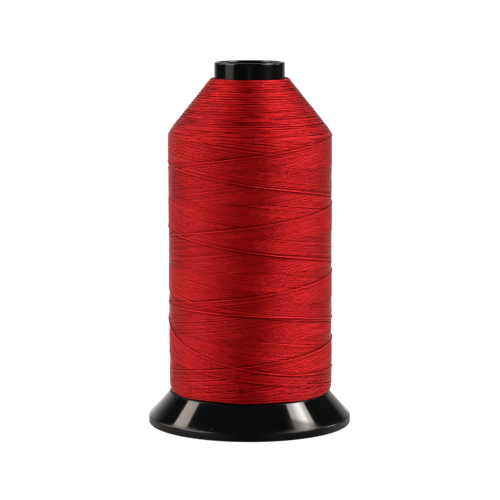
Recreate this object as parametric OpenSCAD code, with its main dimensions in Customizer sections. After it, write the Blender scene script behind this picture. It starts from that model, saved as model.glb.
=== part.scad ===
// Spool of sewing thread: a plastic tube with a conical flange, wound with
// thread to a conical shoulder, standing on a flared foot that snaps into the
// tube. Lifting the tube a little opens the seam in which the thread's end is
// locked. Millimetres, +Z up, origin on the table under the middle of the foot.

/* [Foot] */
// Diameter of the foot at its rim
foot_d = 79; // [74:0.5:95]
// Height of the upright band round the rim
rim_h = 3; // [2:0.1:4.5]
// Radius of the rounded edge between the band and the flare
rim_edge_r = 0.8; // [0.3:0.1:1.2]
// Steepness of the flare above the table, in degrees
flare_deg = 49; // [45:0.5:53]
// Wall of the foot
foot_wall = 1.8; // [1.4:0.1:2.2]
// Width of the ring that the rim stands on
rim_wall = 2.1; // [1.5:0.1:3]
// Diameter of the spindle hole through the hub
spindle_d = 16; // [10:0.5:17]
// Wall of the hub round the spindle hole
hub_wall = 2.2; // [1.6:0.1:2.6]
// How far the hub stays above the table
hub_lift = 1; // [0.5:0.1:2]
// How far the ribs stay above the table
rib_lift = 1.5; // [1.2:0.1:1.6]
// Number of ribs under the foot
rib_count = 4; // [3:1:12]
// Thickness of each rib
rib_t = 1.2; // [0.8:0.1:2]

/* [Tube] */
// Height of the whole spool
spool_h = 141; // [130:1:170]
// Outer diameter of the tube
tube_d = 27.3; // [26:0.1:32]
// Wall of the tube
tube_wall = 1.65; // [1.5:0.05:2]
// Radius of the rounded mouth of the tube
mouth_r = 0.6; // [0.3:0.1:0.7]
// Diameter of the tube's flange, under the thread
flange_d = 61; // [56:0.5:64]
// Wall of the flange
flange_wall = 1.2; // [0.9:0.1:1.6]

/* [Snap fit] */
// Lift that opens the seam for the thread's end
snap_travel = 3; // [2:0.25:4]
// Width of the flat seat that the tube's end stands on, outside the tube
seat_w = 1.35; // [0.8:0.05:2]
// Length of the foot's spigot inside the tube
spigot_h = 18; // [16:0.5:24]
// Wall of the spigot's fingers
finger_wall = 2.3; // [1.6:0.1:2.6]
// Width of the slots between the fingers
slot_w = 3; // [2.4:0.1:4]
// Height of the snap bead round the fingers
bead_h = 1.5; // [1:0.1:2]
// How far the snap bead stands out of the fingers
bead_out = 0.55; // [0.3:0.05:0.7]
// Height of the solid root below the slots
finger_root = 3; // [2:0.5:5]
// Floor that the fingers stand on, round the spindle hole
root_floor = 2; // [1.5:0.1:2.5]
// How far the keys stay outside the fingers' inner side
key_inset = 0.6; // [0.4:0.1:1]

/* [Thread] */
// Thickness of the thread
thread_d = 0.43; // [0.35:0.01:0.6]
// How far the full package stands out past the flange
pack_over = 1.2; // [0.8:0.1:2.5]
// Thickness of the package at its upper end
neck_t = 1.1; // [0.8:0.1:4]
// Height of the package's conical shoulder
shoulder_h = 21.5; // [15:0.5:30]
// Length of bare tube above the thread
neck_h = 6.2; // [3:0.2:15]
// Height of the rounding at the package's lower edge
edge_h = 4; // [2:0.1:6]
// How far that rounding draws the lower edge in
edge_in = 0.8; // [0.4:0.1:1.6]
// How far the plain core lies inside the package's surface
core_depth = 1; // [0.8:0.1:1.6]
// Turns on the conical shoulder, one way
shoulder_turns = 7; // [4:1:7]
// Turns on the straight part, one way
body_turns = 4.75; // [3:0.25:4.75]

/* [Fits] */
// Sliding clearance of the spigot in the tube, on the radius
slide_gap = 0.08; // [0.04:0.01:0.1]
// Clearance between the flange and the foot, and at the seam and the slots
seam_gap = 0.3; // [0.2:0.05:0.5]
// Clearance of the thread round the tube and on the flange
wound_gap = 0.05; // [0.02:0.01:0.1]
// Clear space left between the crossing turns
turn_gap = 0.45; // [0.43:0.01:0.6]

/* [Hidden] */
$fn = 96;

plastic_black = [0.03, 0.03, 0.035];
thread_red = [0.72, 0.03, 0.05];

foot_r = foot_d / 2;
tube_r = tube_d / 2;
bore_r = tube_r - tube_wall;
flange_r = flange_d / 2;
pack_r = flange_r + pack_over;
spindle_r = spindle_d / 2;
hub_r = spindle_r + hub_wall;

// The flare is one cone: flare_r gives its radius at a height, flare_z its
// height at a radius, and side turns a thickness into a step along a radius.
run = 1 / tan(flare_deg);
side = sqrt(1 + run * run);
function flare_r(z) = foot_r - run * (z - rim_h);
function flare_z(r) = rim_h + (foot_r - r) / run;

// The flange lies flush in a recess of the flare, which the seam goes round.
// The recess takes a step of the same length out of the flare all the way in.
lip_r = flange_r + seam_gap;
recess = side * (flange_wall + seam_gap);
seat_r = tube_r + seat_w;
seat_z = flare_z(seat_r + recess);
spigot_r = bore_r - slide_gap;
finger_in_r = spigot_r - finger_wall;
spigot_top = seat_z + spigot_h;
bead_low = spigot_top - bead_h;
bead_r = spigot_r + bead_out;
groove_r = bead_r + 2 * slide_gap;

// The package: its neck, where it meets the tube, and its shoulder.
neck_z = spool_h - neck_h;
neck_r = tube_r + wound_gap + neck_t;
shoulder_z = neck_z - shoulder_h;
core_r = pack_r - core_depth;
low_r = core_r - edge_in;
low_z = flare_z(low_r - side * wound_gap);
edge_r = (edge_h * edge_h + edge_in * edge_in) / (2 * edge_in);

// Points of an arc round c, from angle a to angle b.
function arc(c, r, a, b, n = 8) =
    [for (i = [0:n]) let (t = a + (b - a) * i / n) c + r * [cos(t), sin(t)]];

// ---------------------------------------------------------------- the foot

// Under the flare the wall steps in below the recess, over this height.
wall_step = side * foot_wall;
jog_high = flare_z(lip_r) - recess / run;
jog_low = jog_high - side * foot_wall;
under_top = seat_z - foot_wall;
edge_c = [foot_r - rim_edge_r, rim_h - rim_edge_r * tan((90 - flare_deg) / 2)];
bevel = 0.3;

// Half section of the foot without its ribs.
module foot_section() {
    polygon(concat(
        [[foot_r - rim_wall, 0], [foot_r - bevel, 0], [foot_r, bevel]],
        arc(edge_c, rim_edge_r, 0, 90 - flare_deg),
        [
            [lip_r, flare_z(lip_r)],
            [lip_r, jog_high],
            [seat_r, seat_z],
            [spigot_r, seat_z],
            [spigot_r, bead_low - bead_out],
            [bead_r, bead_low],
            [bead_r, spigot_top - bead_h / 2],
            [spigot_r - bevel, spigot_top],
            [finger_in_r, spigot_top],
            [finger_in_r, seat_z + root_floor],
            [spindle_r, seat_z + root_floor],
            [spindle_r, hub_lift],
            [hub_r, hub_lift],
            [hub_r, under_top],
            [flare_r(under_top) - recess - wall_step, under_top],
            [flare_r(jog_high) - recess - wall_step, jog_high],
            [flare_r(jog_low) - wall_step, jog_low],
            [foot_r - rim_wall, flare_z(foot_r - rim_wall + wall_step)]
        ]
    ));
}

// One rib, from the hub to the inside of the flare, half a wall deep in both.
module foot_rib() {
    top = seat_z - foot_wall / 2;
    bed = wall_step / 2;
    hub_side = hub_r - hub_wall / 2;
    rim_side = foot_r - rim_wall + bed;
    rotate([90, 0, 0])
        linear_extrude(rib_t, center = true)
            polygon([
                [hub_side, rib_lift],
                [rim_side, rib_lift],
                [rim_side, flare_z(rim_side + bed)],
                [flare_r(jog_low) - bed, jog_low],
                [flare_r(jog_high) - recess - bed, jog_high],
                [flare_r(top) - recess - bed, top],
                [hub_side, top]
            ]);
}

module snap_foot() {
    slot_low = seat_z + finger_root;
    color(plastic_black)
        difference() {
            union() {
                rotate_extrude()
                    foot_section();
                for (i = [0:rib_count - 1])
                    rotate(360 * i / rib_count + 45)
                        foot_rib();
            }
            for (a = [0, 90])
                rotate(a)
                    translate([-tube_r, -slot_w / 2, slot_low])
                        cube([tube_d, slot_w, spigot_h]);
        }
}

// ---------------------------------------------------------------- the tube

// Half section of the tube with its flange and the groove for the snap bead.
module tube_section() {
    inner = side * flange_wall;
    groove_top = spigot_top + seam_gap;
    groove_low = bead_low - bead_out - snap_travel - seam_gap;
    depth = groove_r - bore_r;
    blunt = flange_wall / 2;
    polygon(concat(
        [
            [bore_r, seat_z],
            [flare_r(seat_z) - inner, seat_z],
            [flange_r, flare_z(flange_r + inner)],
            [flange_r, flare_z(flange_r) - blunt],
            [flange_r - blunt, flare_z(flange_r - blunt)],
            [tube_r, flare_z(tube_r)]
        ],
        arc([tube_r - mouth_r, spool_h - mouth_r], mouth_r, 0, 90),
        arc([bore_r + mouth_r, spool_h - mouth_r], mouth_r, 90, 180),
        [
            [bore_r, groove_top],
            [groove_r, groove_top - depth],
            [groove_r, groove_low + depth],
            [bore_r, groove_low]
        ]
    ));
}

// A key inside the tube, which stands in a slot between two fingers and keeps
// the tube from turning on them. It reaches to the snap bead.
module tube_key() {
    key_w = slot_w - 2 * seam_gap;
    key_in = finger_in_r + key_inset;
    key_low = seat_z + finger_root + seam_gap;
    key_d = bore_r + tube_wall / 3 - key_in;
    translate([key_in, -key_w / 2, key_low])
        cube([key_d, key_w, bead_low - key_low]);
}

module flanged_tube() {
    color(plastic_black) {
        union() {
            rotate_extrude()
                tube_section();
            for (i = [0:3])
                rotate(90 * i)
                    tube_key();
        }
    }
}

// -------------------------------------------------------------- the thread

// The shoulder of the plain core is a cone from the neck to the full width.
core_neck = [neck_r, neck_z];
core_shoulder = [core_r, shoulder_z];
core_edge = [core_r, low_z + edge_h];

// The last turn lies a little below the start of that rounding.
core_low = [core_r, low_z + edge_h / 2];

// The wound thread as one plain body on the tube and the flange.
module thread_pack() {
    inner = tube_r + wound_gap;
    edge_c = [core_r - edge_r, core_edge[1]];
    color(thread_red)
        rotate_extrude()
            polygon(concat(
                [
                    [inner, flare_z(inner - side * wound_gap)],
                    [inner, neck_z],
                    core_neck,
                    core_shoulder
                ],
                arc(edge_c, edge_r, 0, -asin(edge_h / edge_r), 6)
            ));
}

// The turns run down the shoulder and the straight part, reverse at the lower
// edge and climb back over themselves, one level further out.
turns = 2 * (shoulder_turns + body_turns);
half = turns / 2;
RINGS = 24;
SIDES = 6;
chord = cos(180 / RINGS);

// The first turn starts this far below the neck's edge.
neck_start = 1.2;
shoulder_len = norm(core_shoulder - core_neck);
route_len = shoulder_len + core_shoulder[1] - core_low[1];
shoulder_pitch = (shoulder_len - neck_start) / shoulder_turns;

// Area under a slope that rises from 0 to 1 over one turn.
function eased(x) = x < 0 ? 0 : x < 1 ? x * x / 2 : x - 1 / 2;

body_pitch = (route_len - neck_start - shoulder_pitch * (half - eased(body_turns)))
    / (eased(body_turns) - 1 / 2);

// Length along the core's outline that the thread has come after t turns.
function way(t) = let (u = t <= half ? t : turns - t)
    neck_start + shoulder_pitch * u
    + (body_pitch - shoulder_pitch) * eased(u - shoulder_turns)
    - body_pitch * eased(u - half + 1);

// How far the thread's middle lies off the core after t turns: it changes its
// level while it reverses, over a part of a turn given by climb.
low_level = thread_d / 2 + wound_gap;
high_level = low_level + (thread_d + turn_gap) / chord;
function smooth(x) = let (s = min(1, max(0, x))) s * s * (3 - 2 * s);
climb = 0.8;
function level(t) =
    low_level + (high_level - low_level) * smooth((t - half) / climb + 1 / 2);

// Outline of the core moved out by a level: radius and height at a length.
shoulder_dir = (core_shoulder - core_neck) / shoulder_len;
shoulder_out = [-shoulder_dir[1], shoulder_dir[0]];
function outline(len, off) =
    let (corner = core_shoulder + off * [1, (1 - shoulder_out[0]) / shoulder_out[1]])
    len < shoulder_len
        ? let (top = core_neck + off * shoulder_out) top + (corner - top) * len / shoulder_len
        : let (low = core_low + [off, 0])
            corner + (low - corner) * (len - shoulder_len) / (route_len - shoulder_len);

function on_axis(p, a) = [p[0] * cos(a) / chord, p[0] * sin(a) / chord, p[1]];
function turn_point(t) = on_axis(outline(way(t), level(t)), 360 * t);

// Both ends stand square on the core for a little over one thread thickness.
end_rise = 1.5 * thread_d;
function end_point(t, off) = on_axis(outline(way(t), off), 360 * t);
steps = RINGS * turns;
wound_route = concat(
    [end_point(0, wound_gap), end_point(0, end_rise)],
    [for (i = [1:steps - 1]) turn_point(i / RINGS)],
    [end_point(turns, high_level), end_point(turns, wound_gap)]
);

// A tube of triangles swept along a route, with its rings square to it.
module swept_tube(route, d, sides) {
    last = len(route) - 1;
    function along(i) = let (
        a = i == 0 ? route[1] - route[0] : route[i] - route[i - 1],
        b = i == last ? a : route[i + 1] - route[i],
        c = a / norm(a) + b / norm(b)) c / norm(c);
    function ring(i) = let (
        dir = along(i),
        up = i == 0 || i == last ? [0, 0, 1] : [0, 0, 1] - dir * dir[2],
        u = (up - dir * (up * dir)) / norm(up - dir * (up * dir)),
        v = cross(dir, u))
        [for (k = [0:sides - 1]) let (a = 360 * k / sides)
            route[i] + d / 2 * (u * cos(a) + v * sin(a))];
    points = [for (i = [0:last]) each ring(i)];
    walls = [for (i = [0:last - 1]) for (k = [0:sides - 1]) let (
        a = i * sides + k,
        b = i * sides + (k + 1) % sides)
        each [[a, a + sides, b], [b, a + sides, b + sides]]];
    caps = [for (k = [1:sides - 2]) each [
        [0, k, k + 1],
        [last * sides, last * sides + k + 1, last * sides + k]]];
    polyhedron(points, concat(walls, caps));
}

module outer_turns() {
    color(thread_red)
        swept_tube(wound_route, thread_d, SIDES);
}

// The least clear space between turns, on points a quarter ring apart.
function between(x) = let (i = floor(x))
    wound_route[i + 1] + (wound_route[i + 2] - wound_route[i + 1]) * (x - i);
FINE = 4;
function least_gap() = min([
    for (i = [0:RINGS * FINE - 1])
        let (column = [for (x = [i / FINE : RINGS : steps - 1]) if (x >= 1) between(x)])
        for (a = [0:len(column) - 2])
            for (b = [a + 1:len(column) - 1])
                norm(column[a] - column[b])
]) - thread_d;
echo(str("Least gap of the outer turns to themselves: ", least_gap(), " mm"));

snap_foot();
flanged_tube();
thread_pack();
outer_turns();
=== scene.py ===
"""Spool of sewing thread, dressed for its looks.

The thread is wound in code the way a winding machine lays it: a guide runs up
and down the turning tube, and every stroke of thread lies on what was wound
before it. The two plastic mouldings keep their CAD shapes and get glossy black
plastic with its mould marks, hairline scratches and dust.
"""

import math

import bpy
import numpy as np
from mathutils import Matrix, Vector


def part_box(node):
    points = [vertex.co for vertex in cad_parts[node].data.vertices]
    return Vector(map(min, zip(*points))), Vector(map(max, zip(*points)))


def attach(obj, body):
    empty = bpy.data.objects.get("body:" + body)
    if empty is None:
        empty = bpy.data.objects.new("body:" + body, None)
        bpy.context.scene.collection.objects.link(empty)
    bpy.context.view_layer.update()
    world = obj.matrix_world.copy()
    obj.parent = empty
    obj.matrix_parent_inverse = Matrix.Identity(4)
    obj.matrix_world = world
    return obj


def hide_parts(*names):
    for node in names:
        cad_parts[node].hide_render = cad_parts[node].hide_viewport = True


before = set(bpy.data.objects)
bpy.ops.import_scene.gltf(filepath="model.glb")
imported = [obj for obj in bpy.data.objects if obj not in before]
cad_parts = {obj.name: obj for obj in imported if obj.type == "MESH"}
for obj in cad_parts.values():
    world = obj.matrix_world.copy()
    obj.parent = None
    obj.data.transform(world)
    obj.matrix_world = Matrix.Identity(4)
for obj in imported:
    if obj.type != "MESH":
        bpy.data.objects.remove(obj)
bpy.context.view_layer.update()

MM = 0.001

# ------------------------------------------------------------ sizes from CAD, in mm

MOUTH_HIGH = 4               # of the tube's bare end, where its radius is taken


def reach(node_name, low, high):
    """Largest radius of a CAD node's points between two heights, in mm."""
    points = [v.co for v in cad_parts[node_name].data.vertices]
    found = [math.hypot(p.x, p.y) for p in points if low <= p.z / MM <= high]
    return max(found) / MM


tube_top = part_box("flanged_tube")[1].z / MM
tube_r = reach("flanged_tube", tube_top - MOUTH_HIGH, tube_top)
core_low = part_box("thread_pack")[0].z / MM

# ------------------------------------------------------------ thread, in mm
# Angles are in degrees from +X, and the thread is laid with the angle growing.
# Pairs named DRIFT are for wander(): the columns that a drift lasts, and its size.

THREAD_WIDE = 0.43           # a strand under tension lies a little flat
THREAD_HIGH = 0.40
LOOSE_SIZE = (0.46, 0.46)    # width and height of a strand with none over it
LAYER = 0.37                 # what one stroke adds to the radius
SPRING = 0.07                # how far a turn may stand out of the skin
PROUD = 0.34                 # and how far the newest turns may
LIFT = 0.02                  # of the newest turns above the place where they lie
HELD = 0.8                   # of a strand's half width rests on what is under it
BRIDGED = (2, 4, 7, 11, 16, 22)            # columns, either side, that hold up a tight strand
STIFF = (0.1, 0.2, 0.4, 0.2, 0.1)          # weights of the columns that its bends spread over
PRESSED = 0.03               # how far the newest thread presses its neighbours in
PRESSED_AT = (0.4, 0.2)      # their distance from it, and how much this may be off

BODY_R = 31.75               # mean radius of the full package
OFF_AXIS = (0.45, 0.1)       # its shift along +X, at its lower end and at its shoulder
EDGE_TOP = 16.5              # the lower edge is rounded below this
EDGE_ARC = 10.4
LOW_Z = 13.15                # middle of the lowest turn
SHOULDER_Z = 113.6
SHOULDER_ROUND = (0.25, 2.5)               # what its corner loses, and over what height either side
NECK_Z = 134.95
NECK_R = tube_r + 1.2        # with this much thread over the tube
CONE_FULL = (0.08, 0.7)      # the cone swells by this, over this share of it
ABOVE_NECK = 1.2             # share of the cone's height up to which its slope goes on

CYCLES = 57                  # strokes up, and down, before the pattern closes
CYCLE_TURNS = 8              # turns after which a strand lies beside itself
UP_DEG = 1402.0              # turn of the package during one stroke up
ROUND_DEG = 360 * CYCLE_TURNS - 360 / CYCLES
DOWN_DEG = ROUND_DEG - UP_DEG
LOW_APEX = (53.6, 11.35)     # angle and height where the newest strokes would
HIGH_APEX_Z = 114.5          # meet if the guide turned back at once
UP_RATE = (HIGH_APEX_Z - LOW_APEX[1]) / UP_DEG
DOWN_RATE = (HIGH_APEX_Z - LOW_APEX[1]) / DOWN_DEG

LOW_SPREAD = 2.6             # height over which the strokes turn back at the lower end
LOW_CROWD = 1.5              # power that crowds these turns towards the lowest
LOW_START = 0.3              # where their scatter starts
HIGH_SPREAD = 1.8            # height over which they turn back at the shoulder,
HIGH_OVER = 0.4              # from this much above it
GOLDEN = (0.382, 0.618)      # steps that scatter the turns evenly, low and high
GUIDE_DRIFT = (220, 0.065)
GUIDE_SHAKE_DRIFT = (36, 0.012)
END_DRIFT = (200, 0.09)      # added towards the ends of the package
END_ZONES = (24, 98)         # heights below and above which it sets in,
END_FADE = 10                # and the height that this takes
STEADY = 3                   # newest strokes that it leaves alone
LOOSE_DRIFT = (40, 0.03)     # how the strands of the body sit in and out of line

APART = 0.35                 # how much farther apart the newest strands lie half way up
APART_STROKES = 2            # of them
APART_AT = 650               # degrees after their lower turning point
APART_SPAN = 60              # and degrees that this lasts
PAIRED = (18, 34)            # strokes, counted back, that lie in pairs
PAIRED_DEG = 170             # for so many degrees after their lower turning point
PAIR_SHIFT = 0.09            # of each towards the other

LEAVES_LOW = (26, 0.6)       # degrees after which the newest thread has risen, and how far
JOINS_PATH = 60              # degrees after which it is on its path
TURN_ROUND = (25, 1.2)       # degrees beside its upper turn that this is rounded over, and its loss
DOWN_STEPS = tuple(90 + 120 * n for n in range(6))     # degrees past this turn, on its way down
SAG = 1.2                    # of this way at one side of the package,
SAG_STEPS = (2, 5)           # at these of the steps
HAND_SOFT = 21               # columns, either side, that round the corners of the path
HAND_LAID = (                # angle and height along the last turns
    (2345, 47.6), (2390, 47.5), (2431, 46.8), (2463, 45.5), (2514, 41.7),
    (2600, 42.6), (2680, 43.4), (2709, 41.0), (2718, 37.5), (2735, 33.7),
    (2768, 28.2), (2791, 25.6), (2814, 23.7), (2832, 22.7), (2851, 22.4),
    (2876, 22.8), (2900, 21.0), (2925, 16.6), (2944, 13.2), (2956, 11.3),
)

TERRACES = 24                # on the cone, one for each pair of layers
CONE_TURNS = 3 * TERRACES
CONE_ENDS = (0.25, 0.3)      # of the first turn below the neck, the last below the shoulder
CONE_DRIFT = (130, 0.06)
CONE_SHAKE_DRIFT = (36, 0.03)
TERRACE_HIGH = 0.36          # of a terrace's ridge over its groove,
TERRACE_DEEP = 0.21          # which lies this far in
TERRACE_FADE = 12            # they fade out over one part in this of the cone, at the shoulder
CONE_LOOSE_DRIFT = (90, 0.04)
CONE_BEAD_DRIFT = (9, 0.07)

# The height field: the package's radius at each column round it and row up it.
COLUMNS = 480
COLUMN_DEG = 360 / COLUMNS
ROW = 0.06                   # height of one row
FIELD_LOW = 11.0
FIELD_HIGH = 138.0
ROWS = int((FIELD_HIGH - FIELD_LOW) / ROW)
NEAR = np.arange(-4, 5)      # rows that a strand can touch, either side
COUNT_REACH = (10, 7)        # columns and rows, either side, that turns are counted over
STRAIGHT = (16, 110)         # heights between which the newest strokes leave steps,
STRAIGHT_FADE = 4            # and the height over which these set in
STEP_SHARE = 0.4             # of a layer, the height of such a step

# The relief of a strand: how far it stands out of its surroundings, which the thread's painted
# shade follows.
LEVEL_ROWS = 10              # rows, either side, that make the level round a strand
DIVE_COLUMNS = 2             # how far before it dives under another a strand gets painted shade
DIVE_DEPTH = 1.8             # times its coming drop, which its relief loses there
CONE_LIGHTER = 0.02          # relief added to strands laid side by side on the cone, which the painted shade makes lighter

RING_COLUMNS = 2             # columns between two rings of a strand's mesh
CONE_RING_COLUMNS = 3
SIDES = 6
CAPS = 2                     # flat ends of a strand's tube
PIECE_TURNS = 62             # turns in one piece, which keeps it light
BAKE_GAP = 0.04              # share of a strip of the map OFBake left free, either side

rng = np.random.default_rng(11)
row_z = FIELD_LOW + ROW * np.arange(ROWS)
column_angle = COLUMN_DEG * np.arange(COLUMNS)


def profile(z):
    """Radius of the package's surface at height z."""
    z = np.asarray(z, float)
    drop = np.clip(EDGE_TOP - z, 0, EDGE_ARC)
    body = BODY_R - EDGE_ARC + np.sqrt(EDGE_ARC ** 2 - drop ** 2)
    share = np.clip((z - SHOULDER_Z) / (NECK_Z - SHOULDER_Z), 0, ABOVE_NECK)
    lost, span = SHOULDER_ROUND
    corner = lost * np.clip(1 - np.abs(z - SHOULDER_Z) / span, 0, 1) ** 2
    swell, over = CONE_FULL
    full = swell * np.sin(math.pi * np.clip(share / over, 0, 1))
    return np.where(z > SHOULDER_Z, BODY_R + (NECK_R - BODY_R) * share + full, body) - corner


def wander(count, span, size):
    """Smooth random drift, one value per column, changing over span columns."""
    knots = rng.normal(0, size, int(count / span) + 4)
    x = np.arange(count) / span
    i = x.astype(int)
    t = x - i
    t = t * t * (3 - 2 * t)
    return knots[i] * (1 - t) + knots[i + 1] * t


def columns_from(first, count):
    """The field's columns that a run passes, from column first on."""
    return (first + np.arange(count)) % COLUMNS


def mean_of_rows(field, near):
    """Each value's mean with its neighbours, near rows below and above it."""
    wide = np.ones(2 * near + 1) / (2 * near + 1)
    return np.apply_along_axis(lambda line: np.convolve(line, wide, "same"), 1, field)


def touched(z):
    """Rows of the field that a strand at each height touches, and how far each
    lies from its middle in half widths."""
    rows = np.round((z - FIELD_LOW) / ROW).astype(int)[:, None] + NEAR
    off = (FIELD_LOW + rows * ROW - z[:, None]) / (THREAD_WIDE / 2)
    return rows, off


def bulge(off):
    """Height of a strand's surface over its middle, off half widths beside it."""
    return THREAD_HIGH / 2 * np.sqrt(np.clip(1 - off ** 2, 0, 1))


def draw_tight(r):
    """A strand under tension bridges what dips between two high places."""
    for _ in range(2):
        for n in BRIDGED:
            before, after = np.roll(r, n), np.roll(r, -n)
            before[:n] = r[:n]
            after[-n:] = r[-n:]
            r = np.maximum(r, (before + after) / 2 * math.cos(math.radians(n * COLUMN_DEG)))
    return np.convolve(np.pad(r, len(STIFF) // 2, mode="edge"), STIFF, "valid")


def lay(field, skin, first, z, spring=SPRING):
    """Lays a run of thread on the field, from column first on, at the height z
    for each column. The turns over it press it down to the package's skin.
    Gives the radius of its middle at each column."""
    margin = BRIDGED[-1] + len(STIFF) // 2
    laid = np.empty(len(z))
    for begin in range(0, len(z), COLUMNS):
        low = max(0, begin - margin)
        end = min(len(z), begin + COLUMNS)
        high = min(len(z), end + margin)
        columns = columns_from(first + low, high - low)
        rows, off = touched(z[low:high])
        held = np.where(np.abs(off) < HELD, field[columns[:, None], rows] + bulge(off), 0)
        limit = skin[columns, rows[:, len(NEAR) // 2]] - THREAD_HIGH / 2 + spring
        r = np.minimum(held.max(1), limit)
        r[:begin - low] = laid[low:begin]
        r = np.minimum(draw_tight(r), limit)
        laid[begin:end] = r[begin - low:end - low]
        columns = columns_from(first + begin, end - begin)
        rows, off = touched(z[begin:end])
        top = np.where(np.abs(off) < 1, laid[begin:end, None] + bulge(off), 0)
        np.maximum.at(field, (columns[:, None], rows), top)
    return laid


def traverse():
    """Height of the thread at every column over the last cycles, as one run
    that starts at a lower turning point. The guide slows towards each end, and
    each stroke turns back at a slightly different height."""
    count = int(ROUND_DEG * (CYCLES - 1) / COLUMN_DEG)
    deg = COLUMN_DEG * np.arange(count)
    cycle = (deg / ROUND_DEG).astype(int)
    past_low = deg - cycle * ROUND_DEG
    before_next = ROUND_DEG - past_low
    past_high = past_low - UP_DEG
    up = LOW_APEX[1] + UP_RATE * past_low
    down = HIGH_APEX_Z - DOWN_RATE * past_high
    z = np.where(past_high < 0, up, down)

    low_cycle = cycle + (past_high > 0.5 * DOWN_DEG)
    turn_low = LOW_Z + LOW_SPREAD * ((low_cycle * GOLDEN[0] + LOW_START) % 1) ** LOW_CROWD
    reach_low = 2 * (turn_low - LOW_APEX[1]) / UP_RATE
    x = np.where(low_cycle > cycle, before_next, past_low)
    z = np.where(x < reach_low, turn_low + UP_RATE / (2 * reach_low) * x ** 2, z)

    turn_high = SHOULDER_Z + HIGH_OVER - HIGH_SPREAD * ((cycle * GOLDEN[1]) % 1)
    reach_high = 2 * (HIGH_APEX_Z - turn_high) / UP_RATE
    x = np.abs(past_high)
    z = np.where(x < reach_high, turn_high - UP_RATE / (2 * reach_high) * x ** 2, z)

    back = CYCLES - 1 - cycle
    apart = np.exp(-((past_low - APART_AT) / APART_SPAN) ** 2)
    z -= np.where(back <= APART_STROKES, APART * back, 0) * apart
    paired = (back >= PAIRED[0]) & (back <= PAIRED[1]) & (past_low < PAIRED_DEG)
    z += np.where(paired, PAIR_SHIFT * (-1.0) ** cycle, 0)
    near_end = np.clip(np.maximum(z - END_ZONES[1], END_ZONES[0] - z) / END_FADE, 0, 1)
    drift = wander(count, *GUIDE_DRIFT) + wander(count, *GUIDE_SHAKE_DRIFT)
    z += drift + wander(count, *END_DRIFT) * near_end * (back > STEADY)
    return z


def last_cycle():
    """Height of the newest thread at every column. Its last turns were laid by
    hand: they cross the wound ones and end tucked in under the package."""
    deg = np.arange(0, HAND_LAID[-1][0] - LOW_APEX[0], COLUMN_DEG)
    top = LOW_APEX[1] + UP_RATE * UP_DEG
    after, higher = LEAVES_LOW
    corners = [(0, LOW_Z), (after, LOW_Z + higher)]
    corners.append((JOINS_PATH, LOW_APEX[1] + JOINS_PATH * UP_RATE))
    beside, lost = TURN_ROUND
    corners.append((UP_DEG - beside, top - beside * UP_RATE))
    corners.append((UP_DEG, top - lost))
    corners.append((UP_DEG + beside, top - beside * DOWN_RATE))
    for n, past in enumerate(DOWN_STEPS):
        sag = SAG if n in SAG_STEPS else 0
        corners.append((UP_DEG + past, top - past * DOWN_RATE - sag))
    corners += [(angle - LOW_APEX[0], height) for angle, height in HAND_LAID]
    z = np.interp(deg, *zip(*corners))
    soft = np.hanning(2 * HAND_SOFT + 1)
    return np.convolve(np.pad(z, HAND_SOFT, mode="edge"), soft / soft.sum(), "valid")


def lag(ahead, behind, pitch):
    """How far one height is behind another, as a share of a stroke's pitch."""
    return ((ahead - behind) / pitch) % 1


def ground(first, z):
    """The package's full skin, and the package as it was before the last
    cycles, so that these bring it to its full size. The skin is highest just
    behind each newest stroke."""
    count = np.zeros((COLUMNS, ROWS))
    rows, off = touched(z)
    share = np.where(np.abs(off) < 1, 1.0, 0.0)
    np.add.at(count, (columns_from(first, len(z))[:, None], rows), share)
    near_columns, near_rows = COUNT_REACH
    count = mean_of_rows(count, near_rows)
    padded = np.concatenate([count[-near_columns:], count, count[:near_columns]])
    count = np.stack([padded[n:n + COLUMNS] for n in range(2 * near_columns + 1)]).mean(0)
    up_line = LOW_APEX[1] + UP_RATE * (column_angle - LOW_APEX[0])
    high_apex = LOW_APEX[0] + UP_DEG
    down_line = HIGH_APEX_Z - DOWN_RATE * (column_angle - high_apex)
    up_lag = lag(up_line[:, None], row_z, UP_RATE * 360)
    down_lag = lag(row_z, down_line[:, None], DOWN_RATE * 360)
    from_ends = np.minimum(row_z - STRAIGHT[0], STRAIGHT[1] - row_z)
    straight = np.clip(from_ends / STRAIGHT_FADE, 0, 1)
    skin = profile(row_z) - STEP_SHARE * LAYER * (up_lag + down_lag - 1) * straight
    return skin, skin - LAYER * count


def shoulder_turns():
    """Height of the nearly level turns on the cone, where all the earlier layers
    turned back, as one run from the neck down, and how far each turn sits in or
    out of line."""
    steps = CONE_TURNS * COLUMNS
    share = (np.arange(steps) + 0.5) / steps
    below_neck, below_shoulder = CONE_ENDS
    fall = SHOULDER_Z - below_shoulder - NECK_Z + below_neck
    z = NECK_Z - below_neck + fall * share
    z += wander(steps, *CONE_DRIFT) + wander(steps, *CONE_SHAKE_DRIFT)
    ridge = np.abs(np.sin(math.pi * share * TERRACES))
    fade = np.clip((1 - share) * TERRACE_FADE, 0, 1)
    terrace = (TERRACE_HIGH * ridge - TERRACE_DEEP) * fade
    return z, terrace + wander(steps, *CONE_LOOSE_DRIFT) + wander(steps, *CONE_BEAD_DRIFT)


def ring_points(angle, z, r, size):
    """Points of a strand's rings, which stand square to the run through these
    angles, heights and radii, by ring, side and coordinate."""
    out = np.stack([np.cos(angle), np.sin(angle), np.zeros(len(angle))], 1)
    middle = out * r[:, None]
    middle[:, 0] += np.interp(z, (LOW_Z, SHOULDER_Z), OFF_AXIS)
    middle[:, 2] = z
    along = np.gradient(middle, axis=0)
    along /= np.linalg.norm(along, axis=1)[:, None]
    out -= (out * along).sum(1)[:, None] * along
    out /= np.linalg.norm(out, axis=1)[:, None]
    side = np.cross(along, out)
    turn = 2 * math.pi * np.arange(SIDES) / SIDES
    wide, high = size
    ring = (np.cos(turn)[None, :, None] * out[:, None] * high / 2
            + np.sin(turn)[None, :, None] * side[:, None] * wide / 2)
    return middle[:, None] + ring


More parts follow.
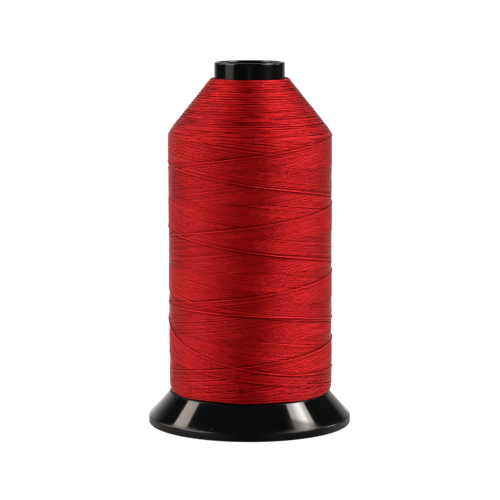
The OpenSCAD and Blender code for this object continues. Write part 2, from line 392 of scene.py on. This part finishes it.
def tube_mesh(name, points, rings):
    """A closed tube through rings of SIDES points, with a flat cap at each end."""
    i = np.arange(rings - 1)[:, None] * SIDES
    j = np.arange(SIDES)[None, :]
    k = (j + 1) % SIDES
    faces = np.stack([i + j, i + k, i + SIDES + k, i + SIDES + j], -1).reshape(-1, 4)
    mesh = bpy.data.meshes.new(name)
    mesh.vertices.add(len(points))
    mesh.vertices.foreach_set("co", points.astype(np.float32).ravel())
    mesh.loops.add(faces.size + CAPS * SIDES)
    mesh.polygons.add(len(faces) + CAPS)
    end = (rings - 1) * SIDES + np.arange(SIDES)
    corners = np.concatenate([faces.ravel(), np.arange(SIDES)[::-1], end])
    mesh.loops.foreach_set("vertex_index", corners.astype(np.int32))
    starts = np.concatenate([4 * np.arange(len(faces)), faces.size + SIDES * np.arange(CAPS)])
    mesh.polygons.foreach_set("loop_start", starts.astype(np.int32))
    mesh.polygons.foreach_set("use_smooth", np.ones(len(faces) + CAPS, bool))
    mesh.update(calc_edges=True)
    return mesh


def add_map(mesh, name, u_low, u_high, v):
    """A UV map of a tube's faces: u at each face's first and next ring, and v
    at its four corners. The caps get one point of it."""
    layer = mesh.uv_layers.new(name=name)
    u = np.stack([u_low, u_low, u_high, u_high], -1)
    both = np.stack([u, v], -1).reshape(-1, 2)
    tail = np.repeat(both[:1], CAPS * SIDES, 0)
    layer.data.foreach_set("uv", np.concatenate([both, tail]).astype(np.float32).ravel())


def strand(name, first, z, r, relief, size, every, reel, start_length):
    """A tube along the run, with its length in mm along u and its way round
    along v in the map UVMap, and one strip per turn in the map OFBake. The
    length is counted at the radius reel, so that the plies of neighbours line
    up. The attribute relief says how far it stands out of its surroundings."""
    at = np.arange(0, len(z), every)
    rings = len(at)
    points = ring_points(np.radians((first + at) * COLUMN_DEG), z[at], r[at], size)
    mesh = tube_mesh(name, points.reshape(-1, 3) * MM, rings)

    step = math.radians(COLUMN_DEG * every) * np.broadcast_to(reel, len(z))[at]
    length = start_length + np.concatenate([[0], np.cumsum(step[1:])])
    ring_of, side_of = np.indices((rings - 1, SIDES))
    v = np.stack([side_of, side_of + 1, side_of + 1, side_of], -1) / SIDES
    add_map(mesh, "UVMap", length[ring_of], length[ring_of + 1], v)
    per_turn = COLUMNS // every
    strips = math.ceil((rings - 1) / per_turn)
    share = (ring_of % per_turn) / per_turn
    v = ((ring_of // per_turn)[..., None] + BAKE_GAP + (1 - 2 * BAKE_GAP) * v) / strips
    add_map(mesh, "OFBake", share, share + 1 / per_turn, v)
    height = mesh.attributes.new("relief", "FLOAT", "POINT")
    height.data.foreach_set("value", np.repeat(relief[at], SIDES).astype(np.float32))
    mesh.validate()
    piece = bpy.data.objects.new(name, mesh)
    bpy.context.scene.collection.objects.link(piece)
    return piece, length[-1]


def relief_of(level, first, z, r):
    """How far a laid strand's crown stands above the mean surface round it. It
    counts as low already a little before the place where it dives under, which
    puts the painted shade of the dive there."""
    rows = np.clip(np.round((z - FIELD_LOW) / ROW).astype(int), 0, ROWS - 1)
    relief = r + THREAD_HIGH / 2 - level[columns_from(first, len(z)), rows]
    ends = np.pad(relief, DIVE_COLUMNS, mode="edge")
    lowest = np.minimum.reduce([ends[n:n + len(z)] for n in range(2 * DIVE_COLUMNS + 1)])
    return relief - DIVE_DEPTH * (relief - lowest)


def pressed_by(first_last, z_last, first, z):
    """How far the newest thread has pressed its neighbours in, in mm."""
    turns = math.ceil(len(z_last) / COLUMNS) + 1
    newest = np.full((COLUMNS, turns), -100.0)
    steps = first_last + np.arange(len(z_last))
    newest[steps % COLUMNS, (steps - first_last + first_last % COLUMNS) // COLUMNS] = z_last
    gap = np.abs(z[:, None] - newest[columns_from(first, len(z))]).min(1)
    beside, span = PRESSED_AT
    return PRESSED * np.clip(1 - np.abs(gap - beside) / span, 0, 1)


def wound_runs():
    """Lays all the thread that shows, oldest first. Gives the runs as name,
    first column, heights and radii, and the level of the package round them."""
    z = traverse()
    first = int(round((LOW_APEX[0] + (CYCLES - 1) * 360 / CYCLES) / COLUMN_DEG))
    skin, field = ground(first, z)
    cone_z, stagger = shoulder_turns()
    cone_r = lay(field, skin, 0, cone_z) + stagger
    runs = [("shoulder_turns", 0, cone_z, cone_r)]
    z_last = last_cycle()
    first_last = int(round(LOW_APEX[0] / COLUMN_DEG))
    r = lay(field, skin, first, z) + wander(len(z), *LOOSE_DRIFT)
    r -= pressed_by(first_last, z_last, first, z)
    per_piece = PIECE_TURNS * COLUMNS
    for n, begin in enumerate(range(0, len(z), per_piece)):
        end = min(len(z), begin + per_piece + 1)
        runs.append((f"body_turns_{n + 1}", first + begin, z[begin:end], r[begin:end]))
    r_last = lay(field, skin, first_last, z_last, PROUD) + LIFT
    runs.append(("last_turns", first_last, z_last, r_last))
    return runs, mean_of_rows(field, LEVEL_ROWS)


def wind(material):
    """Makes a piece of thread of each run that was wound."""
    runs, level = wound_runs()
    length = 0.0
    pieces = []
    for name, first, z, r in runs:
        relief = relief_of(level, first, z, r)
        size = LOOSE_SIZE if name == "last_turns" else (THREAD_WIDE, THREAD_HIGH)
        reel, every = BODY_R, RING_COLUMNS
        if name == "shoulder_turns":
            relief += CONE_LIGHTER
            reel, every = r, CONE_RING_COLUMNS
        piece, length = strand(name, first, z, r, relief, size, every, reel, length)
        piece.data.materials.append(material)
        pieces.append(piece)
    return pieces


# ------------------------------------------------------------ shader nodes

FLOAT, VECTOR = "NodeSocketFloat", "NodeSocketVector"


def node(tree, kind, **values):
    """A new node. Each value is set on the node's property of that name or,
    where it has none, on its input, with spaces for underscores."""
    made = tree.nodes.new(kind)
    for name, value in values.items():
        if hasattr(made, name):
            setattr(made, name, value)
        else:
            made.inputs[name.replace("_", " ")].default_value = value
    return made


def group(name, inputs, outputs):
    """A new node group, with the nodes that stand for its inputs and outputs."""
    tree = bpy.data.node_groups.new(name, "ShaderNodeTree")
    for label, kind, value in inputs:
        socket = tree.interface.new_socket(label, in_out="INPUT", socket_type=kind)
        if value is not None:
            socket.default_value = value
    for label, kind in outputs:
        tree.interface.new_socket(label, in_out="OUTPUT", socket_type=kind)
    return tree, tree.nodes.new("NodeGroupInput"), tree.nodes.new("NodeGroupOutput")


def math_node(tree, operation, a, b=None, c=None, clamp=False):
    """The result of an operation on numbers or on other nodes' outputs."""
    made = node(tree, "ShaderNodeMath", operation=operation, use_clamp=clamp)
    for socket, value in zip(made.inputs, (a, b, c)):
        if value is None:
            continue
        if isinstance(value, (int, float)):
            socket.default_value = value
        else:
            tree.links.new(value, socket)
    return made.outputs[0]


def times(tree, a, b, clamp=False):
    """The product of two values."""
    return math_node(tree, "MULTIPLY", a, b, clamp=clamp)


def times_plus(tree, a, b, c, clamp=False):
    """a times b, plus c."""
    return math_node(tree, "MULTIPLY_ADD", a, b, c, clamp)


def parts_of(tree, vector):
    """A vector's X, Y and Z, as a node's outputs."""
    split = node(tree, "ShaderNodeSeparateXYZ")
    tree.links.new(vector, split.inputs[0])
    return split.outputs


def as_x(tree, value):
    """A vector with the value as its X, for noise that runs along one way."""
    made = node(tree, "ShaderNodeCombineXYZ")
    tree.links.new(value, made.inputs["X"])
    return made.outputs[0]


def noise(tree, vector, scale, detail=2.0, roughness=0.5):
    """Smooth noise between 0 and 1, scale times to the unit."""
    made = node(tree, "ShaderNodeTexNoise", Scale=scale, Detail=detail, Roughness=roughness)
    tree.links.new(vector, made.inputs["Vector"])
    return made.outputs["Fac"]


def ramp(tree, value, none, full):
    """0 where the value is none, 1 where it is full, and even in between."""
    made = node(tree, "ShaderNodeMapRange", From_Min=none, From_Max=full, clamp=True)
    tree.links.new(value, made.inputs["Value"])
    return made.outputs["Result"]


def band(tree, value, low, high):
    """1 between two limits, each given as where the band is none and full."""
    return times(tree, ramp(tree, value, *low), ramp(tree, value, *high))


def mix_colour(tree, factor, a, b):
    """The mix of two colours, each one fixed or another node's output."""
    made = node(tree, "ShaderNodeMix", data_type="RGBA")
    tree.links.new(factor, made.inputs["Factor"])
    for socket, value in ((made.inputs["A"], a), (made.inputs["B"], b)):
        if isinstance(value, tuple):
            socket.default_value = value
        else:
            tree.links.new(value, socket)
    return made.outputs["Result"]


def new_material(name):
    """A material with its node tree and its shader."""
    material = bpy.data.materials.new(name)
    material.use_nodes = True
    tree = material.node_tree
    return material, tree, tree.nodes["Principled BSDF"]


def bump(tree, shader, height, strength, distance):
    """Gives the shader the bumps of a height map."""
    made = node(tree, "ShaderNodeBump", Strength=strength, Distance=distance)
    tree.links.new(height, made.inputs["Height"])
    tree.links.new(made.outputs["Normal"], shader.inputs["Normal"])


# ------------------------------------------------------------ black plastic
# Places are in metres, as the Object coordinates are. A limit of a band is
# where the band is none and where it is full.

IOR = 1.5                    # of the plastic and of the thread's fibre
PLASTIC_BLUE = 1.05          # its blue, against its red and green
DUST_GREY = (0.10, 0.098, 0.095, 1)
DUST_CELLS = 420.0           # in a metre, each with one speck or none
DUST_SIZE = (0.11, 0.04)     # radius of a speck, as a share of its cell
DUST_RARE = (0.955, 0.97)    # share of the cells without one
DUST_ROUGH = 0.6
LINE_NOISE = (1.0, 3.0, 0.6)               # scale, detail and roughness of the turning lines
CLOUD_NOISE = (90.0, 4.0, 0.6)             # and of the clouds in the gloss
SCRATCH_NOISE = (1.0, 1.0, 0.4)            # of the scratches, on a point that is
SCRATCH_STRETCH = (300, 300, 2600)         # stretched and turned by these
SCRATCH_TURN = (0.4, 0.3, 0.2)
SCRATCH_RARE = (0.72, 0.8)
LINE_HIGH, SCRATCH_HIGH = 0.5, -0.4        # share of the bump of each
CLOUD_HAZE, SCRATCH_HAZE = 0.7, 0.6        # and of the haze
HAZE_RANGE = (0.2, 0.9)                    # haze at which the roughness is least and most
MARK_BUMP = (0.25, 0.00002)                # strength and height of the marks

WORN_FADE = 0.0013           # height over which the wear sets in
UNWORN = -1                  # a height below all, for plastic that isn't rubbed
# A patch of painted shade low at +X, which dims the mirror image there:
SHADE_PATCH_ACROSS = ((0.008, 0.014), (0.034, 0.028))         # along X
SHADE_PATCH_BELOW = (0.0125, 0.0113)              # along Z, with this much of X added
SHADE_PATCH_SLANT = 0.28
LOWER_EDGE = ((0.0018, 0.0023), (0.0040, 0.0034))      # along Z
# painted shadow of the thread on the seat round its lower edge, along Z
SEAT_SHADOW = ((0.0122, 0.0125), (0.015, 0.0145))
WORN_ROUGH, SHADE_PATCH_ROUGH, EDGE_ROUGH, SEAT_SHADOW_ROUGH = 0.08, 0.04, 0.06, 0.4
WORN_DARK, SHADE_PATCH_DARK = 0.3, 0.62           # share of the mirror image that each takes away, as wear and as painted shade


def hairlines():
    """Marks of the mould and of handling: fine turning lines round the axis,
    hairline scratches and specks of dust."""
    tree, given, put = group(
        "hairlines",
        [("Point", VECTOR, None), ("Line spacing", FLOAT, 0.0004), ("Dust", FLOAT, 0.5)],
        [("Height", FLOAT), ("Haze", FLOAT), ("Specks", FLOAT)],
    )
    link = tree.links.new
    point = given.outputs["Point"]
    x, y, z = parts_of(tree, point)
    flat = math_node(tree, "ADD", times(tree, x, x), times(tree, y, y))
    track = math_node(tree, "SUBTRACT", math_node(tree, "SQRT", flat), z)
    pitch = math_node(tree, "DIVIDE", track, given.outputs["Line spacing"])
    lines = noise(tree, as_x(tree, pitch), *LINE_NOISE)
    cloud = noise(tree, point, *CLOUD_NOISE)
    stretch = node(tree, "ShaderNodeMapping", Scale=SCRATCH_STRETCH, Rotation=SCRATCH_TURN)
    link(point, stretch.inputs["Vector"])
    scratch = ramp(tree, noise(tree, stretch.outputs[0], *SCRATCH_NOISE), *SCRATCH_RARE)
    cells = node(tree, "ShaderNodeTexVoronoi", feature="F1", Scale=DUST_CELLS)
    link(point, cells.inputs["Vector"])
    close = ramp(tree, cells.outputs["Distance"], *DUST_SIZE)
    rare = ramp(tree, parts_of(tree, cells.outputs["Color"])[0], *DUST_RARE)
    specks = times(tree, times(tree, close, rare), given.outputs["Dust"])
    height = times_plus(tree, lines, LINE_HIGH, times(tree, scratch, SCRATCH_HIGH))
    haze = times_plus(tree, cloud, CLOUD_HAZE, times(tree, scratch, SCRATCH_HAZE))
    link(height, put.inputs["Height"])
    link(haze, put.inputs["Haze"])
    link(specks, put.inputs["Specks"])
    return tree


def black_plastic(name, marks, base, gloss, rough, line_spacing, dust, worn_below):
    """Black moulded plastic, with a roughness from gloss where it is cleanest to
    rough in the haze. Below the height worn_below it is rubbed dull. Low on one
    side of the foot a rougher patch holds painted shade, which dims the mirror
    image there. The lower edge of its rim is duller, and the seat round the
    thread holds a painted shadow of the thread. Metallic is used as a mask here:
    on a nearly black base it only takes the mirror image away."""
    material, tree, shader = new_material(name)
    link = tree.links.new
    shader.inputs["IOR"].default_value = IOR
    place = node(tree, "ShaderNodeTexCoord").outputs["Object"]
    surface = node(tree, "ShaderNodeGroup", node_tree=marks)
    surface.inputs["Line spacing"].default_value = line_spacing
    surface.inputs["Dust"].default_value = dust
    link(place, surface.inputs["Point"])
    specks = surface.outputs["Specks"]
    black = (base, base, base * PLASTIC_BLUE, 1)
    link(mix_colour(tree, specks, black, DUST_GREY), shader.inputs["Base Color"])

    x, _, z = parts_of(tree, place)
    worn = ramp(tree, z, worn_below, worn_below - WORN_FADE)
    # The patch low at +X and the seat are painted shade; the rubbed rim and the lower edge are
    # wear.
    slanted = times_plus(tree, x, SHADE_PATCH_SLANT, z)
    painted_shade_patch = times(tree, band(tree, x, *SHADE_PATCH_ACROSS), ramp(tree, slanted, *SHADE_PATCH_BELOW))
    edge = band(tree, z, *LOWER_EDGE)
    painted_seat_shadow = band(tree, z, *SEAT_SHADOW)

    least, most = HAZE_RANGE
    haze = node(tree, "ShaderNodeMapRange", From_Min=least, From_Max=most)
    haze.inputs["To Min"].default_value = gloss
    haze.inputs["To Max"].default_value = rough
    link(surface.outputs["Haze"], haze.inputs["Value"])
    dull = haze.outputs["Result"]
    duller = ((worn, WORN_ROUGH), (painted_shade_patch, SHADE_PATCH_ROUGH), (edge, EDGE_ROUGH), (painted_seat_shadow, SEAT_SHADOW_ROUGH))
    for mask, more in duller:
        dull = times_plus(tree, mask, more, dull)
    dull = math_node(tree, "MAXIMUM", dull, times(tree, specks, DUST_ROUGH))
    link(dull, shader.inputs["Roughness"])

    # Metallic dims the mirror image: painted shade in the patch and on the seat, wear where rubbed.
    dark = times_plus(tree, painted_shade_patch, SHADE_PATCH_DARK, painted_seat_shadow, clamp=True)
    dark = math_node(tree, "MAXIMUM", dark, times(tree, worn, WORN_DARK))
    link(dark, shader.inputs["Metallic"])
    bump(tree, shader, surface.outputs["Height"], *MARK_BUMP)
    return material


# ------------------------------------------------------------ thread's finish

RED = (0.87, 0.0003, 0.006, 1)
DEEP_RED = (0.02, 0.0001, 0.0002, 1)       # where no light comes to it
THREAD_ROUGH = 0.36
THREAD_GLOSS = 0.5

TWIST = 1.75                 # ply lengths that the ply lines shift in one round of a strand
CYCLE_PLIES = 1540           # ply lengths in a cycle, after which neighbours are in step
PLY_SPACING = 2 * CYCLE_TURNS * math.pi * BODY_R / CYCLE_PLIES
PLY_LEAN = -0.43             # ply lengths that the plies shift for each mm of height
PLY_DRIFT = (0.03, 1.2)      # how often in a mm the plies drift, and how many rounds
PLY_BUMP = (1.0, 0.00008)    # strength and height of the plies
CROWN_SHARP = 1.6            # power that narrows the plies' crowns of painted light
CROWN_GAIN, GROOVE_SHADE = 0.85, 0.36      # painted light that its crown adds to the painted shade of its groove

SIDE_SHADE_RANGE = (-0.8, 0.6)        # cosine of the way round from outward, from dark to light: painted shade on a strand's sides
RELIEF_RANGE = (-0.1, 0.4)   # relief at which a strand's painted shade is darkest and lightest
RELIEF_NOISE = (0.45, 0.2)   # how often in a mm this varies along it, and by how much relief
SUNK_SHADE = 0.2             # painted shade of the darkest strands
LIT_GLOSS = 0.55             # share of plain gloss where the painted shade is lightest, with none where it is dark, so its highlights are painted too


def ply_crown(tree, length, way_round):
    """How high each point lies on its ply, from 0 in the groove to 1. The plies
    wind round the strand as a screw, in step with those of its neighbours."""
    often, much = PLY_DRIFT
    drift = noise(tree, as_x(tree, length), often, 1.0)
    past_half = math_node(tree, "GREATER_THAN", way_round, 0.5)
    turned = math_node(tree, "SUBTRACT", way_round, past_half)
    screw = math_node(tree, "DIVIDE", length, TWIST * PLY_SPACING)
    turned = math_node(tree, "SUBTRACT", turned, screw)
    turned = times_plus(tree, drift, much, turned)
    height = parts_of(tree, node(tree, "ShaderNodeTexCoord").outputs["Object"])["Z"]
    turned = times_plus(tree, height, PLY_LEAN / MM / TWIST, turned)
    ply = math_node(tree, "SINE", times(tree, turned, math.pi * TWIST))
    return math_node(tree, "ABSOLUTE", ply)


def sewing_thread():
    """Twisted thread: plies that wind round it as a screw, with painted shade in
    the grooves between them, on the sides of a strand and where it lies deep or
    dives under another, and painted light where it stands out, over the shade
    that the render makes. Metallic takes pale reflections away where this
    painted shade is dark."""
    material, tree, shader = new_material("red_thread")
    link = tree.links.new
    shader.inputs["IOR"].default_value = IOR
    shader.inputs["Roughness"].default_value = THREAD_ROUGH
    shader.inputs["Specular IOR Level"].default_value = THREAD_GLOSS
    run = node(tree, "ShaderNodeUVMap", uv_map="UVMap")
    length, way_round, _ = parts_of(tree, run.outputs["UV"])
    crown = ply_crown(tree, length, way_round)

    # Painted shade on a strand's sides, where its neighbours hide it.
    outward = math_node(tree, "COSINE", times(tree, way_round, 2 * math.pi))
    painted_side_shade = ramp(tree, outward, *SIDE_SHADE_RANGE)
    stands_out = node(tree, "ShaderNodeAttribute", attribute_name="relief").outputs["Fac"]
    # Painted shade by relief, darker where a strand lies deep and lighter where it stands out, with
    # tone that differs at random along it.
    often, much = RELIEF_NOISE
    uneven = noise(tree, as_x(tree, length), often, 1.0)
    tone = ramp(tree, times_plus(tree, uneven, much, stands_out), *RELIEF_RANGE)
    painted_relief_shade = math_node(tree, "ADD", tone, SUNK_SHADE)
    # Painted shade in the ply grooves and painted light on their crowns.
    narrow = math_node(tree, "POWER", crown, CROWN_SHARP)
    painted_ply_shade = times_plus(tree, narrow, CROWN_GAIN, GROOVE_SHADE)
    shade = times(tree, times(tree, painted_relief_shade, painted_ply_shade), painted_side_shade, clamp=True)

    # The painted shade sets the colour and, through Metallic, keeps pale gloss to the lit parts.
    link(mix_colour(tree, shade, DEEP_RED, RED), shader.inputs["Base Color"])
    link(times_plus(tree, shade, -LIT_GLOSS, 1.0), shader.inputs["Metallic"])
    bump(tree, shader, crown, *PLY_BUMP)
    return material


# ------------------------------------------------------------ pieces

SPIN_STEPS = 128
SMOOTH_DEG = 40
MERGE = 1e-6                 # metres between points that are made one

# The form that stands for the buried turns keeps these distances, in mm.
UNDER_SKIN = 2.4 * LAYER     # from the package's skin at its sides,
UNDER_SHOULDER = (2.6, 0.5)  # radially and in height from the shoulder,
UNDER_NECK = (0.45, 0.5)     # and from the neck
ROUND_TUBE = 0.05            # from the tube
INNER_LOW = 36               # height where it leaves the tube for the flange
INNER_EDGE = 0.8             # width of its lower edge
SIDE_LOW, SIDE_HIGH = 30, SHOULDER_Z - 1   # heights between which its side is straight
EDGE_POINTS, SIDE_POINTS = 8, 6


def finish_of(node_name, material):
    """Gives a CAD piece its only material."""
    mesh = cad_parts[node_name].data
    mesh.materials.clear()
    mesh.materials.append(material)


def spun(name, outline):
    """A closed solid of revolution round Z from a ring of (radius, height)."""
    mesh = bpy.data.meshes.new(name)
    piece = bpy.data.objects.new(name, mesh)
    bpy.context.scene.collection.objects.link(piece)
    points = [(r * MM, 0, z * MM) for r, z in outline]
    edges = [(i, (i + 1) % len(points)) for i in range(len(points))]
    mesh.from_pydata(points, edges, [])
    for other in bpy.context.selected_objects:
        other.select_set(False)
    bpy.context.view_layer.objects.active = piece
    piece.select_set(True)
    bpy.ops.object.mode_set(mode="EDIT")
    bpy.ops.mesh.select_all(action="SELECT")
    bpy.ops.mesh.spin(steps=SPIN_STEPS, angle=2 * math.pi, center=(0, 0, 0), axis=(0, 0, 1))
    bpy.ops.mesh.select_all(action="SELECT")
    bpy.ops.mesh.remove_doubles(threshold=MERGE)
    bpy.ops.mesh.normals_make_consistent(inside=False)
    bpy.ops.object.mode_set(mode="OBJECT")
    bpy.ops.object.shade_smooth_by_angle(angle=math.radians(SMOOTH_DEG))
    return piece


def buried_turns(material):
    """The many turns underneath: a closed form just inside the visible ones."""
    edge = np.linspace(core_low, EDGE_TOP, EDGE_POINTS)
    straight = np.linspace(SIDE_LOW, SIDE_HIGH, SIDE_POINTS)
    side = [(float(profile(h)) - UNDER_SKIN, float(h)) for h in np.concatenate([edge, straight])]
    shoulder = (BODY_R - UNDER_SHOULDER[0], SHOULDER_Z - UNDER_SHOULDER[1])
    neck = (NECK_R - UNDER_NECK[0], NECK_Z - UNDER_NECK[1])
    inner = tube_r + ROUND_TUBE
    bore = [(inner, neck[1]), (inner, INNER_LOW), (side[0][0] - INNER_EDGE, core_low)]
    piece = spun("buried_turns", [*side, shoulder, neck, *bore])
    piece.data.materials.append(material)
    return piece


marks = hairlines()
foot_black = black_plastic("glossy_black_plastic", marks, base=0.002, gloss=0.05, rough=0.12,
                           line_spacing=0.0003, dust=0.6, worn_below=0.0045)
tube_black = black_plastic("satin_black_plastic", marks, base=0.0007, gloss=0.12, rough=0.22,
                           line_spacing=0.0004, dust=0.4, worn_below=UNWORN)
red = sewing_thread()

finish_of("snap_foot", foot_black)
finish_of("flanged_tube", tube_black)

core = buried_turns(red)
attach(core, "tube")
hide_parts("thread_pack")
for piece in wind(red):
    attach(piece, "tube")
    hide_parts("outer_turns", "thread_pack")

# ------------------------------------------------------------ camera, in metres

CAMERA_Y, CAMERA_Z = -0.86890, 0.18536
CAMERA_DOWN = 7.708          # degrees that it looks down
SENSOR = 36                  # mm, as the lens
LENS = 161.94
SHIFT_X = 0.0008             # of the frame's width

camera = bpy.data.objects.new("camera", bpy.data.cameras.new("camera"))
camera.location = (0, CAMERA_Y, CAMERA_Z)
camera.rotation_euler = (math.radians(90 - CAMERA_DOWN), 0, 0)
camera.data.sensor_width = SENSOR
camera.data.lens = LENS
camera.data.shift_x = SHIFT_X
bpy.context.scene.collection.objects.link(camera)
bpy.context.scene.camera = camera

# ------------------------------------------------------------ lamps, in metres and watts

WARM = (1.0, 0.88, 0.78)
MILD = (1.0, 0.93, 0.88)
AIM_Z = 0.06                 # height of the point that the lamps face
PEAK_END = 0.82              # share of its width where a peaked lamp is dimmest on its far side,
PEAK_LEAST = 0.25            # and the share of its light left there


def softbox(name, place, size, power, colour, fade=0.0, least=1.0, peak=0.0):
    """An area lamp that faces the spool. Its place is an azimuth, 0 in front and
    90 to the right, an elevation and a distance. Over the share fade of its
    height it dims to the share least at its lower edge. With a peak, a share of
    its width, it is brightest there and dims to both sides."""
    lamp = bpy.data.lights.new(name, "AREA")
    lamp.shape = "RECTANGLE"
    lamp.size, lamp.size_y = size
    lamp.energy = power
    lamp.color = colour
    if fade:
        lamp.use_nodes = True
        tree = lamp.node_tree
        across, up, _ = parts_of(tree, node(tree, "ShaderNodeNewGeometry").outputs["Parametric"])
        dim = node(tree, "ShaderNodeMapRange", From_Max=fade, To_Min=least, clamp=True)
        tree.links.new(up, dim.inputs["Value"])
        dim = dim.outputs["Result"]
        if peak:
            rise = ramp(tree, across, 0, peak)
            fall = times_plus(tree, ramp(tree, across, PEAK_END, peak), 1 - PEAK_LEAST, PEAK_LEAST)
            dim = times(tree, dim, math_node(tree, "MINIMUM", rise, fall))
        tree.links.new(dim, tree.nodes["Emission"].inputs["Strength"])
    made = bpy.data.objects.new(name, lamp)
    azimuth, elevation, distance = place
    a, e = math.radians(azimuth), math.radians(elevation)
    way = Vector((math.sin(a) * math.cos(e), -math.cos(a) * math.cos(e), math.sin(e)))
    made.location = Vector((0, 0, AIM_Z)) + way * distance
    made.rotation_mode = "QUATERNION"
    made.rotation_quaternion = way.to_track_quat("Z", "Y")
    bpy.context.scene.collection.objects.link(made)


softbox("left_front", (-69.5, 24, 1.3), (0.78, 1.2), 15.6, MILD, fade=0.4, least=0.2)
softbox("right_front", (65, 26, 1.3), (0.68, 1.2), 15.2, MILD, fade=0.4, least=0.06)
softbox("left_side", (-109, 14, 1.3), (0.5, 0.3), 2.1, MILD)
softbox("right_side", (105, 14, 1.3), (0.5, 0.3), 4.2, MILD)
softbox("left_back", (-108, 41, 1.3), (0.27, 0.7), 3.6, WARM)
softbox("right_back", (93, 48, 1.3), (0.38, 0.6), 6, MILD, fade=0.5, least=0.2)
softbox("right_core", (95, 48, 1.25), (0.29, 0.5), 7, MILD, fade=0.5, least=0.2, peak=0.53)

# ------------------------------------------------------------ floor and world
# The limits of a band are where it is none and where it is full, as above.

FLOOR_WIDE = 40
FLOOR_Z = -0.0003
FLOOR_BOUNCE = (0.12, 0.12, 0.12, 1)       # what the floor throws back at the object,
FLOOR_SEEN = (0.29, 0.29, 0.29, 1)         # and what it shows of its light and shadow,
FLOOR_GLOW = 0.9                           # over this glow
BESIDE = ((0.005, 0.035), (0.2, 0.08))     # metres to the left or right
BESIDE_GREY, UNDER_GREY = 0.25, 0.04       # what a mirror shows more there, and what elsewhere: painted light beside the foot, painted shade in line with it
BEHIND = (0.8, 2.5)          # times farther back than to the side
BEHIND_GREY = 0.6            # what a mirror shows more there

ROOM = 0.94                  # strength of the plain light all round
DARK_ROOM = 0.02             # what a mirror shows of the room, away from its pale back wall
WALL_LEFT = (0.55, 0.95)     # this wall, along the Y of the direction, on the left
WALL_RIGHT = (0.74, 0.82)    # and on the right,
WALL_RIGHT_SHARE = 0.55      # where it is darker
WALL_MEETS = (-0.1, 0.1)     # along X
WALL_LOW = (0.45, 0.15)      # along Z
WALL_WHITE = (1, 0.96, 0.94, 1)
WHITE = (1, 1, 1, 1)


def pale_floor():
    """White for the camera, under the object's shadow. In a mirror it shows painted
    light and shade: grey beside the foot, dark in line with it, and pale far behind it."""
    material = bpy.data.materials.new("pale_floor")
    material.use_nodes = True
    tree = material.node_tree
    link = tree.links.new
    tree.nodes.clear()
    out = node(tree, "ShaderNodeOutputMaterial")
    ray = node(tree, "ShaderNodeLightPath")
    seen = ray.outputs["Is Camera Ray"]
    tone = mix_colour(tree, seen, FLOOR_BOUNCE, FLOOR_SEEN)
    x, y, _ = parts_of(tree, node(tree, "ShaderNodeTexCoord").outputs["Object"])
    off_axis = math_node(tree, "ABSOLUTE", x)
    beside = times_plus(tree, band(tree, off_axis, *BESIDE), BESIDE_GREY, UNDER_GREY)
    far_behind = ramp(tree, math_node(tree, "DIVIDE", y, off_axis), *BEHIND)
    mirrored = times_plus(tree, far_behind, BEHIND_GREY, beside)
    diffuse = node(tree, "ShaderNodeBsdfDiffuse")
    link(mix_colour(tree, ray.outputs["Is Glossy Ray"], tone, mirrored), diffuse.inputs["Color"])
    glow = node(tree, "ShaderNodeEmission")
    link(times(tree, seen, FLOOR_GLOW), glow.inputs["Strength"])
    both = node(tree, "ShaderNodeAddShader")
    link(diffuse.outputs[0], both.inputs[0])
    link(glow.outputs[0], both.inputs[1])
    link(both.outputs[0], out.inputs[0])
    return material


def studio_world():
    """White for the camera, plain light for the object and, in a mirror, a dark
    room with a pale wall low at its back."""
    world = bpy.data.worlds.new("studio")
    bpy.context.scene.world = world
    world.use_nodes = True
    tree = world.node_tree
    link = tree.links.new
    tree.nodes.clear()
    out = node(tree, "ShaderNodeOutputWorld")
    back = node(tree, "ShaderNodeBackground")
    ray = node(tree, "ShaderNodeLightPath")
    glossy = ray.outputs["Is Glossy Ray"]
    x, y, z = parts_of(tree, node(tree, "ShaderNodeTexCoord").outputs["Generated"])
    left = ramp(tree, y, *WALL_LEFT)
    right = times(tree, times(tree, ramp(tree, y, *WALL_RIGHT), left), WALL_RIGHT_SHARE)
    wall = node(tree, "ShaderNodeMix", data_type="FLOAT")
    link(ramp(tree, x, *WALL_MEETS), wall.inputs["Factor"])
    link(left, wall.inputs["A"])
    link(right, wall.inputs["B"])
    low = ramp(tree, z, *WALL_LOW)
    mirrored = times_plus(tree, wall.outputs["Result"], low, DARK_ROOM)
    amount = node(tree, "ShaderNodeMix", data_type="FLOAT", A=ROOM)
    link(glossy, amount.inputs["Factor"])
    link(mirrored, amount.inputs["B"])
    strength = math_node(tree, "MAXIMUM", amount.outputs["Result"], ray.outputs["Is Camera Ray"])
    link(strength, back.inputs["Strength"])
    link(mix_colour(tree, glossy, WHITE, WALL_WHITE), back.inputs["Color"])
    link(back.outputs[0], out.inputs[0])


bpy.ops.mesh.primitive_plane_add(size=FLOOR_WIDE, location=(0, 0, FLOOR_Z))
floor = bpy.context.active_object
floor.name = "floor"
floor.data.materials.append(pale_floor())
studio_world()
bpy.context.scene.view_settings.view_transform = "Standard"
